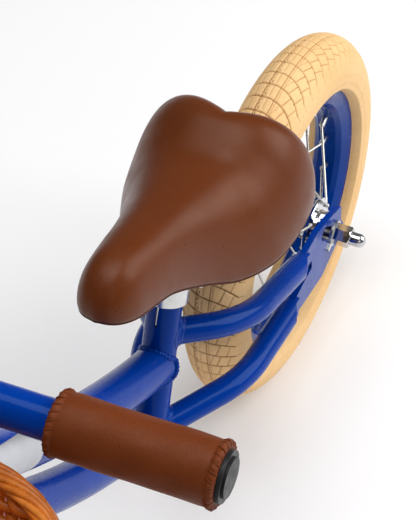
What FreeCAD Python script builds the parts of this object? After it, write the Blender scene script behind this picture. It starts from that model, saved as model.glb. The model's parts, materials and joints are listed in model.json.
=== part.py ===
"""Children's balance bike with twelve-inch spoked wheels.

+X points forwards, +Y to the rider's left and +Z up. The origin is on the
ground, half way between the two axles. All lengths are in millimetres.
"""
import FreeCAD, Part
import math
import os

V = FreeCAD.Vector
OUT = "parts"
X_AXIS, Y_AXIS, Z_AXIS = V(1, 0, 0), V(0, 1, 0), V(0, 0, 1)

# ---- driving dimensions -------------------------------------------------
WHEEL_R = 150.0             # outside radius of both tyres
WHEELBASE = 580.0
REAR = V(-WHEELBASE / 2, 0, WHEEL_R)
FRONT = V(WHEELBASE / 2, 0, WHEEL_R)

TYRE_HALF_W = 24.9
TYRE_HALF_H = 27.7          # radial half height of the tyre's oval section
RIM_LIP_R, RIM_LIP_Y = 108.5, 15.8
RIM_INNER_R = 92.6
SPOKES = 20
SPOKE_R = 1.0
SPOKE_START = 190.3         # angle of the first nipple, degrees from +X towards +Z
SPOKE_LEAN = 36.0           # how far round the hub a spoke starts from its nipple
VALVE_AT = SPOKE_START + 90 - 180.0 / SPOKES
FLANGE_R, FLANGE_Y = 24.0, 30.0
SPOKE_HOLE_R = 20.0
CUP_R, CUP_END = 16.3, 38.7
AXLE_R = 4.9

DROP_IN, DROP_OUT = 39.5, 44.5   # inner and outer faces of the dropout plates
AXLE_TIP = 72.0

SEAT_ANGLE = math.radians(16.0)  # lean of the seat tube back from upright
SEAT_FOOT = V(-80, 0, 230)       # a point on the seat tube's centre line
SEAT_TUBE_R, SEATPOST_R, SEAT_TUBE_TOP = 12.5, 11.1, 261.0
TOP_TUBE_R, DOWN_TUBE_R, STAY_R = 15.0, 14.3, 9.75
TUBE_WALL = 1.5

HEAD_ANGLE = math.radians(70.0)
FORK_OFFSET = 25.0
HEAD_LOW, HEAD_HIGH = 181.0, 261.0   # ends of the head tube along the steering axis
HEAD_R, STEERER_R = 17.0, 12.7
BAR_R, BAR_REACH, BAR_HEIGHT = 11.1, 47.5, 458.0
GRIP_START, GRIP_LENGTH, GRIP_R = 85.0, 88.0, 16.6
BAR_SWEEP = math.radians(3.1)

BASKET_TOP, BASKET_BASE = 432.0, 322.0
STRAP_Y, STRAP_HALF_W, STRAP_THICK = 32.0, 8.0, 2.2

SEAT_UP = V(-math.sin(SEAT_ANGLE), 0, math.cos(SEAT_ANGLE))
STEER_UP = V(-math.cos(HEAD_ANGLE), 0, math.sin(HEAD_ANGLE))
STEER_FWD = V(math.sin(HEAD_ANGLE), 0, math.cos(HEAD_ANGLE))
STEER_FOOT = FRONT - STEER_FWD * FORK_OFFSET
SIDES = (("left", 1), ("right", -1))


# ---- helpers --------------------------------------------------------------
def seat_point(height):
    """Point on the seat tube's centre line at a height above the ground."""
    return SEAT_FOOT + SEAT_UP * ((height - SEAT_FOOT.z) / SEAT_UP.z)


def steer_point(along, out=0.0, side=0.0):
    """Point a distance up the steering axis, ahead of it and to one side."""
    return STEER_FOOT + STEER_UP * along + STEER_FWD * out + Y_AXIS * side


def rod(a, b, radius):
    return Part.makeCylinder(radius, (b - a).Length, a, b - a)


def pipe(a, b, outer, inner):
    over = (b - a).normalize() * 1.0
    return rod(a, b, outer).cut(rod(a - over, b + over, inner))


def fuse(shapes):
    body = shapes[0]
    if len(shapes) > 1:
        body = body.multiFuse(shapes[1:])
    return body.removeSplitter()


def group(shapes):
    return Part.makeCompound([solid for shape in shapes for solid in shape.Solids])


def bent_path(points, radius):
    """Straight runs through the points, joined by tangent arcs."""
    edges, start = [], points[0]
    for before, corner, after in zip(points, points[1:], points[2:]):
        u, w = (before - corner).normalize(), (after - corner).normalize()
        half = u.getAngle(w) / 2
        tangent = radius / math.tan(half)
        a, b = corner + u * tangent, corner + w * tangent
        bisector = (u + w).normalize()
        middle = corner + bisector * (radius / math.sin(half) - radius)
        edges += [Part.LineSegment(start, a).toShape(), Part.Arc(a, middle, b).toShape()]
        start = b
    edges.append(Part.LineSegment(start, points[-1]).toShape())
    return Part.Wire(edges)


def sweep(path, radius):
    """A round bar of the given radius along a wire."""
    first = path.OrderedEdges[0]
    start = first.valueAt(first.FirstParameter)
    heading = first.tangentAt(first.FirstParameter)
    ring = Part.Wire(Part.makeCircle(radius, start, heading))
    return path.makePipeShell([ring], True, False)


def arc_tube(a, middle, b, radius):
    return sweep(Part.Wire(Part.Arc(a, middle, b).toShape()), radius)


def spin(profile, centre):
    """Turn a closed outline of (y, r) points about the wheel axis at centre."""
    points = [centre + V(0, y, r) for y, r in profile]
    face = Part.Face(Part.makePolygon(points + points[:1]))
    return face.revolve(centre, Y_AXIS, 360)


def polar(centre, radius, degrees, y=0.0):
    a = math.radians(degrees)
    return centre + V(radius * math.cos(a), y, radius * math.sin(a))


def plate(outline, centre, y_from, y_to):
    """A flat plate in the X-Z plane from a list of (x, z) points about centre."""
    points = [V(centre.x + x, y_from, centre.z + z) for x, z in outline]
    face = Part.Face(Part.makePolygon(points + points[:1]))
    return face.extrude(V(0, y_to - y_from, 0))


def soften(shape, radius, direction):
    """Round the straight edges of a plate that run along one direction."""
    picked = [e for e in shape.Edges if len(e.Vertexes) == 2
              and abs(abs(e.tangentAt(e.FirstParameter).dot(direction)) - 1) < 1e-6]
    return shape.makeFillet(radius, picked)


def mirror(shape):
    return shape.mirror(V(0, 0, 0), Y_AXIS)


# ---- wheels -----------------------------------------------------------------
def oval_ring(centre, half_w, half_h):
    """Solid ring whose section is an oval round the middle of the tyre."""
    mid = centre + V(0, 0, WHEEL_R - TYRE_HALF_H)
    major, minor = (Z_AXIS, Y_AXIS) if half_h >= half_w else (Y_AXIS, Z_AXIS)
    big, small = max(half_w, half_h), min(half_w, half_h)
    oval = Part.Ellipse(mid + major * big, mid + minor * small, mid).toShape()
    return Part.Face(Part.Wire(oval)).revolve(centre, Y_AXIS, 360)


def tyre(centre):
    """Hollow tyre with a bead on each side that sits inside the rim's lips."""
    outside = oval_ring(centre, TYRE_HALF_W, TYRE_HALF_H)
    inside = oval_ring(centre, TYRE_HALF_W - 3.6, TYRE_HALF_H - 5.4)
    low = RIM_LIP_R + 0.3
    trim = spin([(-40, 60), (40, 60), (40, low), (-40, low)], centre)
    bead = [(10.5, 102.8), (12.4, 102.8), (13.4, 104.9), (13.8, low), (18.0, low), (19.5, 111.5),
            (15.5, 111.5), (10.5, 104.5)]
    beads = [spin([(side * y, r) for y, r in bead], centre) for side in (1, -1)]
    return fuse([outside.cut(inside).cut(trim)] + beads)


def inner_tube(centre):
    """Round rubber tube with its valve stem and cap."""
    ring = oval_ring(centre, 18.0, 18.001).cut(oval_ring(centre, 16.6, 16.601))
    valve = rod(polar(centre, 105, VALVE_AT), polar(centre, 68, VALVE_AT), 3.0)
    cap = rod(polar(centre, 76, VALVE_AT), polar(centre, 66, VALVE_AT), 4.0)
    return fuse([ring, valve, cap])


def spoke_layout():
    """(angle of the nipple, side of the hub, lead or trail) for every spoke."""
    step = 360.0 / SPOKES
    return [(SPOKE_START - step * i, 1 if i % 2 == 0 else -1, 1 if i // 2 % 2 == 0 else -1)
            for i in range(SPOKES)]


def rim(centre):
    outer = [(RIM_LIP_Y, RIM_LIP_R), (15.3, 104.2), (11.6, 96.2), (7.5, 93.4), (0, RIM_INNER_R)]
    inner = [(0, 94.6), (6.9, 95.4), (10.2, 97.8), (13.8, 104.8), (14.1, RIM_LIP_R)]
    right = [(-y, r) for y, r in reversed(outer[:-1])] + [(-y, r) for y, r in reversed(inner[1:])]
    body = spin(outer + right + inner, centre)
    for angle, side, _ in spoke_layout():
        body = body.cut(rod(polar(centre, 88, angle, side), polar(centre, 100, angle, side), 2.3))
    return body.cut(rod(polar(centre, 86, VALVE_AT), polar(centre, 100, VALVE_AT), 3.1))


def spokes(centre):
    """Bent wire spokes with their nipples, each one a solid of its own.

    Trailing spokes leave the hub outside its flange and leading ones inside
    it, so the pairs cross without touching.
    """
    solids = []
    outside_y, inside_y = FLANGE_Y + 1.2, FLANGE_Y - 4.2
    for angle, side, lead in spoke_layout():
        hub_at = angle - SPOKE_LEAN * lead
        elbow_y, head_y = (inside_y, outside_y) if lead > 0 else (outside_y, inside_y)
        nip_y = 1.0 * side
        head = polar(centre, SPOKE_HOLE_R, hub_at, side * head_y)
        elbow = polar(centre, SPOKE_HOLE_R, hub_at, side * elbow_y)
        nipple_in = polar(centre, 84.0, angle, nip_y)
        nipple_out = polar(centre, 97.5, angle, nip_y)
        wire = fuse([rod(head, elbow, SPOKE_R), Part.makeSphere(SPOKE_R, elbow),
                     rod(elbow, nipple_in, SPOKE_R), Part.makeSphere(1.8, head)])
        shank = fuse([rod(nipple_in, nipple_out, 2.2),
                      rod(polar(centre, 95.3, angle, nip_y), nipple_out, 3.0)])
        solids.append(fuse([wire, shank]))
    return group(solids)


def hub(centre):
    half = [(0, 9.0), (18, 9.0), (24, 12.0), (FLANGE_Y - 3.2, 14.5), (FLANGE_Y - 3.0, FLANGE_R - 0.6),
            (FLANGE_Y - 2.4, FLANGE_R), (FLANGE_Y - 0.6, FLANGE_R), (FLANGE_Y, FLANGE_R - 0.6),
            (FLANGE_Y + 0.2, CUP_R - 1.3), (FLANGE_Y + 3.0, CUP_R - 1.9), (CUP_END - 1.0, CUP_R),
            (CUP_END, CUP_R), (CUP_END, 13.4), (33.2, 12.3), (29.0, 12.3), (29.0, 7.0), (0, 7.0)]
    body = fuse([spin([(side * y, r) for y, r in half], centre) for side in (1, -1)])
    for angle, side, lead in spoke_layout():
        hub_at = angle - SPOKE_LEAN * lead
        a = polar(centre, SPOKE_HOLE_R, hub_at, side * (FLANGE_Y - 5))
        b = polar(centre, SPOKE_HOLE_R, hub_at, side * (FLANGE_Y + 2))
        body = body.cut(rod(a, b, SPOKE_R + 0.05))
    return body.cut(spokes(centre))


def balls(centre, ring_r, y, count, ball_r):
    return [Part.makeSphere(ball_r, polar(centre, ring_r, 360.0 * i / count, y)) for i in range(count)]


def hub_balls(centre):
    return group(balls(centre, 9.7, 31.3, 9, 2.2) + balls(centre, 9.7, -31.3, 9, 2.2))


def axle(centre):
    ends = V(0, AXLE_TIP - 8.0, 0)
    return rod(centre - ends, centre + ends, AXLE_R)


def cones(centre):
    """Bearing cones with their lock nuts, one solid on each side."""
    solids = []
    for side in (1, -1):
        profile = [(30.2, AXLE_R), (30.2, 6.2), (33.0, 7.1), (35.6, 7.1), (35.6, 11.0),
                   (DROP_IN, 11.0), (DROP_IN, AXLE_R)]
        solids.append(spin([(side * y, r) for y, r in profile], centre))
    return group(solids)


def washer(centre, side, tab_at):
    """Flat washer with a bent tab that hooks into the dropout plate."""
    y0, y1 = side * DROP_OUT, side * (DROP_OUT + 2.2)
    disc = rod(centre + V(0, y0, 0), centre + V(0, y1, 0), 10.5)
    tongue = Part.makeBox(15.5, abs(y1 - y0), 5.0, centre + V(0, min(y0, y1), -2.5))
    hook = rod(centre + V(14.0, y1, 0), centre + V(14.0, side * (DROP_IN + 1.0), 0), 1.9)
    tab = fuse([tongue, hook])
    tab.rotate(centre, Y_AXIS, -tab_at)
    return fuse([disc, tab]).cut(rod(centre - V(0, 80, 0), centre + V(0, 80, 0), AXLE_R))


def axle_nuts(centre):
    """Hexagon nuts with long domed caps."""
    solids = []
    across, nut_in, nut_out, dome_r = 15.0, DROP_OUT + 2.2, 60.0, 5.6
    corners = [(across / math.sqrt(3) * math.cos(math.radians(60 * i + 10)),
                across / math.sqrt(3) * math.sin(math.radians(60 * i + 10))) for i in range(6)]
    for side in (1, -1):
        hexagon = plate(corners, centre, side * nut_in, side * nut_out)
        round_off = spin([(side * y, r) for y, r in
                          ((nut_in, 0), (nut_in, 9.6), (nut_in + 1, 9.6), (nut_out - 1.4, 9.0),
                           (nut_out, 7.6), (nut_out, 0))], centre)
        barrel = rod(centre + V(0, side * nut_out, 0), centre + V(0, side * (AXLE_TIP - dome_r), 0), dome_r)
        dome = Part.makeSphere(dome_r, centre + V(0, side * (AXLE_TIP - dome_r), 0))
        bore = rod(centre, centre + V(0, side * (AXLE_TIP - 8.0), 0), AXLE_R)
        solids.append(fuse([hexagon.common(round_off), barrel, dome]).cut(bore))
    return group(solids)


# ---- frame --------------------------------------------------------------------
def top_tube_middle():
    return REAR + V(350, 0, 113)


def frame_tubes():
    """Seat, head, top and down tubes, mitred to each other."""
    low, high = seat_point(121), seat_point(SEAT_TUBE_TOP)
    seat_outer = rod(low, high, SEAT_TUBE_R)
    seat = pipe(low, high, SEAT_TUBE_R, SEATPOST_R + 0.05)
    slit = Part.makeBox(20, 2.4, 34, V(0, -1.2, -34))
    slit.Placement = FreeCAD.Placement(high + SEAT_UP * 1.0,
                                       FreeCAD.Rotation(Y_AXIS, -math.degrees(SEAT_ANGLE)))
    seat = seat.cut(slit)

    head_outer = fuse([rod(steer_point(HEAD_LOW - 40), steer_point(HEAD_HIGH), HEAD_R),
                       rod(steer_point(HEAD_LOW - 40), steer_point(HEAD_LOW), 19.3)])
    head = pipe(steer_point(HEAD_LOW), steer_point(HEAD_HIGH), HEAD_R, HEAD_R - 2.2)

    top_ends = (seat_point(195), top_tube_middle(), steer_point(236))
    down_ends = (seat_point(138), REAR + V(371, 0, 72), steer_point(203))
    top_outer = arc_tube(*top_ends, TOP_TUBE_R).cut(seat_outer).cut(head_outer)
    top = top_outer.cut(arc_tube(*top_ends, TOP_TUBE_R - TUBE_WALL))
    down_outer = arc_tube(*down_ends, DOWN_TUBE_R)
    down = down_outer.cut(seat_outer).cut(head_outer)
    down = down.cut(arc_tube(*down_ends, DOWN_TUBE_R - TUBE_WALL)).cut(arc_tube(*top_ends, TOP_TUBE_R))
    keep = {"seat_tube": seat, "head_tube": head, "top_tube": top, "down_tube": down}
    return {name: largest(shape) for name, shape in keep.items()}, [seat_outer, down_outer]


def largest(shape):
    return max(shape.Solids, key=lambda s: s.Volume)


def dropout(side):
    """Track-end plate: a slot open to the rear and a rounded notch in front."""
    outline = [(-15, 16), (12, 24), (34, 29), (62, 26), (62, 8), (44, 8), (43, -1), (58, -3),
               (84, -8), (84, -25), (50, -28), (20, -31), (-8, -21), (-23, -9), (-16, 0)]
    y0, y1 = sorted((side * DROP_IN, side * DROP_OUT))
    body = soften(plate(outline, REAR, y0, y1), 2.5, Y_AXIS)
    tilt, slot_r = 38.0, AXLE_R + 1.0
    length = 24.0
    slot = Part.makeBox(length + 40, 20, 2 * slot_r, REAR + V(-40, side * 42 - 10, -slot_r))
    slot = fuse([slot, rod(REAR + V(length, side * 32, 0), REAR + V(length, side * 52, 0), slot_r)])
    slot.rotate(REAR, Y_AXIS, -tilt)
    hook = polar(REAR, 14.0, -28.0)
    hole = rod(hook + V(0, side * 30, 0), hook + V(0, side * 50, 0), 2.1)
    return body.cut(slot).cut(hole)


def stay(start, corner, end, tip, side, cutters):
    """A bent stay whose end is flattened where it meets the dropout plate."""
    start, corner, end, tip = [V(p.x, p.y * side, p.z) for p in (start, corner, end, tip)]
    body = sweep(bent_path([start, corner, tip], 95.0), STAY_R)
    body = body.cut(sweep(bent_path([start, corner, end], 95.0), STAY_R - TUBE_WALL))
    heading = (tip - end).normalize()
    across = heading.cross(Y_AXIS).normalize()
    length = (tip - end).Length
    crimp = [(-1, STAY_R + 1), (length + 3, STAY_R + 1), (length + 3, 4.7), (length * 0.6, 4.7),
             (0, STAY_R)]
    for sign in (1, -1):
        corners = [end - across * 12 + heading * u + Y_AXIS * (sign * v) for u, v in crimp]
        body = body.cut(Part.Face(Part.makePolygon(corners + corners[:1])).extrude(across * 24))
    for cutter in cutters:
        body = body.cut(cutter)
    return largest(body)


def stays(tubes, plates):
    """Upper and lower stays on both sides, wrapped round the tyre."""
    y = (DROP_IN + DROP_OUT) / 2
    upper = [REAR + V(*p) for p in ((212, 1, 68), (163, y, 51.5), (72, y, 20.97), (56, y, 15.6))]
    lower = [REAR + V(*p) for p in ((234, 5.5, -8), (163, y, -9.5), (88, y, -15.1), (72, y, -16.3))]
    out = {}
    for name, side in SIDES:
        other_half = Part.makeBox(400, 100, 400, V(-400, -100 if side > 0 else 0, 0))
        cutters = tubes + [plates[name], other_half]
        out[name + "_upper_stay"] = stay(*upper, side, cutters)
        out[name + "_lower_stay"] = stay(*lower, side, cutters)
    return out


def seat_clamp():
    """Split collar with two ears behind the seat tube."""
    low, high = seat_point(SEAT_TUBE_TOP - 14), seat_point(SEAT_TUBE_TOP + 0.2)
    ring = pipe(low, high, 16.0, SEAT_TUBE_R)
    ears = Part.makeBox(14, 17, 13.4, V(-25, -8.5, -13.6))
    gap = Part.makeBox(20, 2.6, 20, V(-32, -1.3, -17))
    turn = FreeCAD.Rotation(Y_AXIS, -math.degrees(SEAT_ANGLE))
    ears.Placement = FreeCAD.Placement(high, turn)
    gap.Placement = FreeCAD.Placement(high, turn)
    core = rod(seat_point(SEAT_TUBE_TOP - 22), seat_point(SEAT_TUBE_TOP + 8), SEAT_TUBE_R)
    body = fuse([ring, ears]).cut(core).cut(gap)
    centre = clamp_bolt_centre()
    return body.cut(rod(centre - V(0, 30, 0), centre + V(0, 30, 0), 2.6))


def clamp_bolt_centre():
    return seat_point(SEAT_TUBE_TOP - 7) - V(math.cos(SEAT_ANGLE), 0, math.sin(SEAT_ANGLE)) * 20.0


def seat_clamp_bolt():
    centre = clamp_bolt_centre()
    shank = rod(centre - V(0, 14, 0), centre + V(0, 10, 0), 2.55)
    head = rod(centre + V(0, 8.5, 0), centre + V(0, 14.5, 0), 4.4)
    socket = rod(centre + V(0, 11.5, 0), centre + V(0, 16, 0), 2.2)
    nut = rod(centre - V(0, 8.5, 0), centre - V(0, 13, 0), 4.6)
    return fuse([shank, head, nut]).cut(socket)


def badge():
    """Blank rounded name plate on the left side of the top tube."""
    centre_line = (seat_point(195), top_tube_middle(), steer_point(236))
    sleeve = arc_tube(*centre_line, TOP_TUBE_R + 0.5).cut(arc_tube(*centre_line, TOP_TUBE_R))
    rear_end, front_end = REAR + V(407, 0, 157), REAR + V(455, 0, 192)
    run = (front_end - rear_end).normalize()
    up = V(-run.z, 0, run.x)
    band = 11.5
    corners = [rear_end - up * band, front_end - up * band, front_end + up * band, rear_end + up * band]
    block = Part.Face(Part.makePolygon(corners + corners[:1])).extrude(V(0, 30, 0))
    ends = [rod(p, p + V(0, 30, 0), band) for p in (rear_end, front_end)]
    return largest(sleeve.common(fuse([block] + ends)))


# ---- steering --------------------------------------------------------------------
def headset_cups():
    solids = []
    for start, step in ((HEAD_LOW, -1), (HEAD_HIGH, 1)):
        rim_end = start + step * 5.0
        cup = rod(steer_point(start), steer_point(rim_end), 19.0)
        skirt = pipe(steer_point(start), steer_point(start - step * 9.0), HEAD_R - 2.2, 13.5)
        bore = rod(steer_point(start - step), steer_point(rim_end + step), 17.2)
        floor_hole = rod(steer_point(start - 20), steer_point(start + 20), 13.5)
        floor = rod(steer_point(start), steer_point(start + step * 1.6), 18.0)
        cup = fuse([cup.cut(bore), floor]).cut(floor_hole)
        solids.append(fuse([cup, skirt]))
    return group(solids)


def ring_of_balls(along, ring_r, count, ball_r):
    solids = []
    for i in range(count):
        a = 2 * math.pi * i / count
        at = steer_point(along, ring_r * math.cos(a), ring_r * math.sin(a))
        solids.append(Part.makeSphere(ball_r, at))
    return solids


def headset_balls():
    low = ring_of_balls(HEAD_LOW - 3.1, 15.55, 16, 1.4)
    high = ring_of_balls(HEAD_HIGH + 3.1, 15.55, 16, 1.4)
    return group(low + high)


def headset_races():
    """Crown race below and screwed race above, both on the steerer."""
    lower = pipe(steer_point(HEAD_LOW - 12), steer_point(HEAD_LOW - 5.4), 17.6, STEERER_R)
    upper = pipe(steer_point(HEAD_HIGH + 5.4), steer_point(HEAD_HIGH + 12), 18.4, STEERER_R)
    return group([lower, upper])


def headset_locknut():
    low, high = steer_point(HEAD_HIGH + 12.4), steer_point(HEAD_HIGH + 20)
    corners = [steer_point(HEAD_HIGH + 12.4, 18.5 * math.cos(math.radians(60 * i)),
                           18.5 * math.sin(math.radians(60 * i))) for i in range(6)]
    hexagon = Part.Face(Part.makePolygon(corners + corners[:1])).extrude(high - low)
    return hexagon.cut(rod(low - STEER_UP, high + STEER_UP, STEERER_R))


def fork_steerer():
    return pipe(steer_point(158), steer_point(HEAD_HIGH + 20), STEERER_R, SEATPOST_R + 0.05)


def fork_crown():
    centre = steer_point(164)
    block = Part.makeBox(30, 104, 10, V(-15, -52, -5))
    block = soften(block, 12.0, Z_AXIS)
    block.Placement = FreeCAD.Placement(centre, FreeCAD.Rotation(Y_AXIS, -20))
    hole = rod(steer_point(150), steer_point(180), STEERER_R)
    return block.cut(hole)


def fork_blade(side):
    y = side * (DROP_IN + DROP_OUT) / 2
    top, knee = steer_point(162, 0, y), steer_point(80, 1.5, y)
    foot = steer_point(35, 17.0, y)
    path = Part.Wire(Part.Arc(top, knee, foot).toShape())
    body = sweep(path, 9.5).cut(sweep(path, 8.0))
    cap = Part.makeSphere(9.5, foot)
    hole = Part.makeSphere(8.0, foot)
    body = fuse([body, cap.cut(sweep(path, 9.4))]).cut(hole)
    return largest(body.cut(fork_end(side)).cut(fork_crown()))


def fork_end(side):
    """Plate with a slot open at the bottom for the front axle."""
    outline = [(-28, 44), (-15, 12), (-11, -11), (-5, -17), (6, -17), (11, -10), (12, 8), (-6, 48)]
    y0, y1 = sorted((side * DROP_IN, side * DROP_OUT))
    body = soften(plate(outline, FRONT, y0, y1), 2.0, Y_AXIS)
    slot = Part.makeBox(2 * AXLE_R + 0.4, 20, 40, FRONT + V(-AXLE_R - 0.2, side * 42 - 10, -40))
    bore = rod(FRONT + V(0, side * 30, 0), FRONT + V(0, side * 55, 0), AXLE_R + 0.2)
    hook = polar(FRONT, 14.0, 115.0)
    hole = rod(hook + V(0, side * 30, 0), hook + V(0, side * 50, 0), 2.1)
    return body.cut(slot).cut(bore).cut(hole)


# ---- handlebar ---------------------------------------------------------------------
def bar_centre():
    along = (BAR_HEIGHT - STEER_FOOT.z - BAR_REACH * STEER_FWD.z) / STEER_UP.z
    return steer_point(along, BAR_REACH)


def bar_point(y):
    """Centre of the swept handlebar a distance y from the middle."""
    straight = 32.0
    back = max(abs(y) - straight, 0) * math.tan(BAR_SWEEP)
    return bar_centre() + V(-back, y, 0)


def bar_sweep(radius):
    end = GRIP_START + GRIP_LENGTH - 1.0
    path = bent_path([bar_point(-end), bar_point(-32), bar_point(32), bar_point(end)], 200.0)
    return sweep(path, radius)


def handlebar():
    return bar_sweep(BAR_R).cut(bar_sweep(BAR_R - 1.8))


def along_grip(side, distance):
    heading = (bar_point(side * 150) - bar_point(side * 100)).normalize()
    return bar_point(side * GRIP_START) + heading * distance


def grip_rod(side, start, end, radius):
    return rod(along_grip(side, start), along_grip(side, end), radius)


def grip(side):
    """Leather sleeve with a raised hem at both ends."""
    sleeve = grip_rod(side, 0, GRIP_LENGTH, GRIP_R)
    hems = [grip_rod(side, 0, 5, GRIP_R + 1.1), grip_rod(side, GRIP_LENGTH - 5, GRIP_LENGTH, GRIP_R + 1.1)]
    return fuse([sleeve] + hems).cut(grip_rod(side, -2, GRIP_LENGTH + 2, BAR_R))


def grip_plugs():
    solids = []
    for _, side in SIDES:
        disc = grip_rod(side, GRIP_LENGTH, GRIP_LENGTH + 2.5, 13.5)
        crown = grip_rod(side, GRIP_LENGTH + 2.5, GRIP_LENGTH + 4.0, 10.5)
        stem = grip_rod(side, GRIP_LENGTH - 14, GRIP_LENGTH, BAR_R - 1.9)
        solids.append(fuse([disc, crown, stem]))
    return group(solids)


def pinch_centre():
    return bar_centre() - STEER_UP * 20 - STEER_FWD * 5


def stem():
    """Quill stem: a post inside the steerer and an arm to the bar clamp."""
    centre = bar_centre()
    along = (centre - STEER_FOOT).dot(STEER_UP)
    post = rod(steer_point(185), steer_point(along + 12), SEATPOST_R)
    neck = rod(steer_point(along), centre, 10.5)
    barrel = rod(centre - V(0, 21, 0), centre + V(0, 21, 0), 16.0)
    body = fuse([post, neck, barrel])
    body = body.cut(rod(centre - V(0, 40, 0), centre + V(0, 40, 0), BAR_R))
    ears_at = pinch_centre()
    ears = soften(Part.makeBox(11, 16, 16, ears_at - V(5.5, 8, 6)), 3.0, Y_AXIS)
    split = Part.makeBox(40, 2.4, 22, ears_at - V(20, 1.2, 14))
    pinch = rod(ears_at + V(0, -20, -2), ears_at + V(0, 20, -2), 2.6)
    ears = ears.cut(rod(centre - V(0, 40, 0), centre + V(0, 40, 0), BAR_R)).cut(split).cut(pinch)
    body = fuse([body, ears.cut(body)])
    bolt_way = rod(steer_point(150), steer_point(along + 30), 4.05)
    return largest(body.cut(bolt_way))


def stem_bolts():
    """Long expander bolt down the post and the pinch bolt under the bar."""
    centre = bar_centre()
    along = (centre - STEER_FOOT).dot(STEER_UP)
    top = along + 12
    expander = fuse([rod(steer_point(172), steer_point(top), 4.0), rod(steer_point(top), steer_point(top + 5), 7.0)])
    expander = expander.cut(rod(steer_point(top + 2), steer_point(top + 8), 3.0))
    ears_at = pinch_centre() - V(0, 0, 2)
    pinch = fuse([rod(ears_at - V(0, 12, 0), ears_at + V(0, 12, 0), 2.55),
                  rod(ears_at + V(0, 8, 0), ears_at + V(0, 13, 0), 4.4),
                  rod(ears_at - V(0, 12.5, 0), ears_at - V(0, 8, 0), 4.6)])
    return group([expander, pinch])


def stem_wedge():
    wedge = rod(steer_point(168), steer_point(184.8), SEATPOST_R - 0.1)
    return wedge.cut(rod(steer_point(160), steer_point(190), 4.0))


# ---- basket ---------------------------------------------------------------------------
def basket_outline(half_x, half_y, z, centre_x):
    """Rounded outline of the basket, square-shouldered like a packed oval."""
    points, power = [], 2.0 / 3.0
    for i in range(32):
        a = 2 * math.pi * (i + 0.5) / 32
        c, s = math.cos(a), math.sin(a)
        points.append(V(centre_x + half_x * math.copysign(abs(c) ** power, c),
                        half_y * math.copysign(abs(s) ** power, s), z))
    curve = Part.BSplineCurve()
    curve.interpolate(points, PeriodicFlag=True)
    return Part.Wire(curve.toShape())


def basket_centre_x():
    return REAR.x + 577.0


def basket_bowl():
    x = basket_centre_x()
    outer = Part.makeLoft([basket_outline(61, 97, BASKET_BASE, x),
                           basket_outline(72.5, 113.5, BASKET_TOP - 6, x)], True)
    inner = Part.makeLoft([basket_outline(56, 92, BASKET_BASE + 6, x),
                           basket_outline(68.2, 109.2, BASKET_TOP - 5, x)], True)
    return outer.cut(inner).cut(strap_holes())


def basket_rim():
    x = basket_centre_x()
    outer = Part.Face(basket_outline(75, 116, BASKET_TOP - 6, x)).extrude(V(0, 0, 10))
    inner = Part.Face(basket_outline(66.5, 107.5, BASKET_TOP - 8, x)).extrude(V(0, 0, 16))
    return outer.cut(inner).cut(strap_holes())


def strap_loop(y, grow, half_width):
    """Filled outline of a strap that runs round the bar and the basket's rim."""
    bar, low = bar_point(y), V(basket_centre_x() - 68.0, y, BASKET_TOP - 18)
    r_bar, r_low = BAR_R + 0.1 + grow, 9.5 + grow
    bar, low = V(bar.x, y - half_width, bar.z), V(low.x, y - half_width, low.z)
    gap = low - bar
    turn = math.asin((r_low - r_bar) / gap.Length)
    base = math.atan2(gap.z, gap.x)
    corners = []
    for sign, order in ((1, (bar, low)), (-1, (low, bar))):
        angle = base + sign * (math.pi / 2 + turn)
        for centre in order:
            radius = r_bar if centre is bar else r_low
            corners.append(centre + V(math.cos(angle), 0, math.sin(angle)) * radius)
    block = Part.Face(Part.makePolygon(corners + corners[:1])).extrude(V(0, 2 * half_width, 0))
    across = V(0, 2 * half_width, 0)
    return fuse([block, rod(bar, bar + across, r_bar), rod(low, low + across, r_low)])


def strap_holes():
    return group([strap_band(s * STRAP_Y, STRAP_HALF_W + 0.2) for s in (1, -1)])


def strap_band(y, half_width):
    outer = strap_loop(y, STRAP_THICK, half_width)
    return outer.cut(strap_loop(y, 0.0, half_width))


def basket_straps():
    left = strap_band(STRAP_Y, STRAP_HALF_W).cut(bar_sweep(BAR_R))
    return group([left, mirror(left)])


def strap_buckles():
    """Small wire frames on the rear face of the two straps."""
    solids = []
    for side in (1, -1):
        y = side * STRAP_Y
        bar, low = bar_point(y), V(basket_centre_x() - 68.0, y, BASKET_TOP - 18)
        gap = (low - bar).normalize()
        normal = V(gap.z, 0, -gap.x)
        middle = (bar + low) * 0.5 + normal * (BAR_R + STRAP_THICK + 0.4)
        frame = Part.makeBox(14, 21, 2.0, V(-7, -10.5, 0)).cut(Part.makeBox(9, 16.6, 6, V(-4.5, -8.3, -2)))
        frame = fuse([frame, Part.makeBox(2, 21, 2.0, V(-1, -10.5, 0))])
        frame.Placement = FreeCAD.Placement(middle, FreeCAD.Rotation(gap, Y_AXIS, normal, "ZXY"))
        solids.append(frame.cut(strap_loop(y, STRAP_THICK, STRAP_HALF_W)))
    return group(solids)


# ---- saddle ---------------------------------------------------------------------------
# (x ahead of the rear axle, half width, then heights above the axle of the
# lip, of the roof of the hollow and of the crown)
SADDLE_STATIONS = ((82, 48, 128, 150, 180), (104, 63, 118.5, 150, 192), (125, 65.5, 113.5, 146, 191),
                   (152, 60.5, 109.5, 144, 183), (182, 47.5, 112.5, 148, 184),
                   (211, 35.8, 128.6, 157.6, 187.5), (240, 28.6, 145.8, 165.7, 192),
                   (270, 24.2, 155.8, 174, 196), (292, 18.5, 161.3, 175.5, 193),
                   (304, 6, 166, 177, 187))
# half of the plan outline, from the notch at the back round to the nose
SADDLE_PLAN = ((92, 0), (86.3, 18.1), (82.2, 37), (83, 51.9), (88.7, 60), (99.7, 64.3), (115, 65.6),
               (132, 64.5), (152, 60.5), (182, 47.5), (211, 35.8), (240, 28.6), (270, 24.2), (292, 18.5),
               (302, 9))


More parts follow.
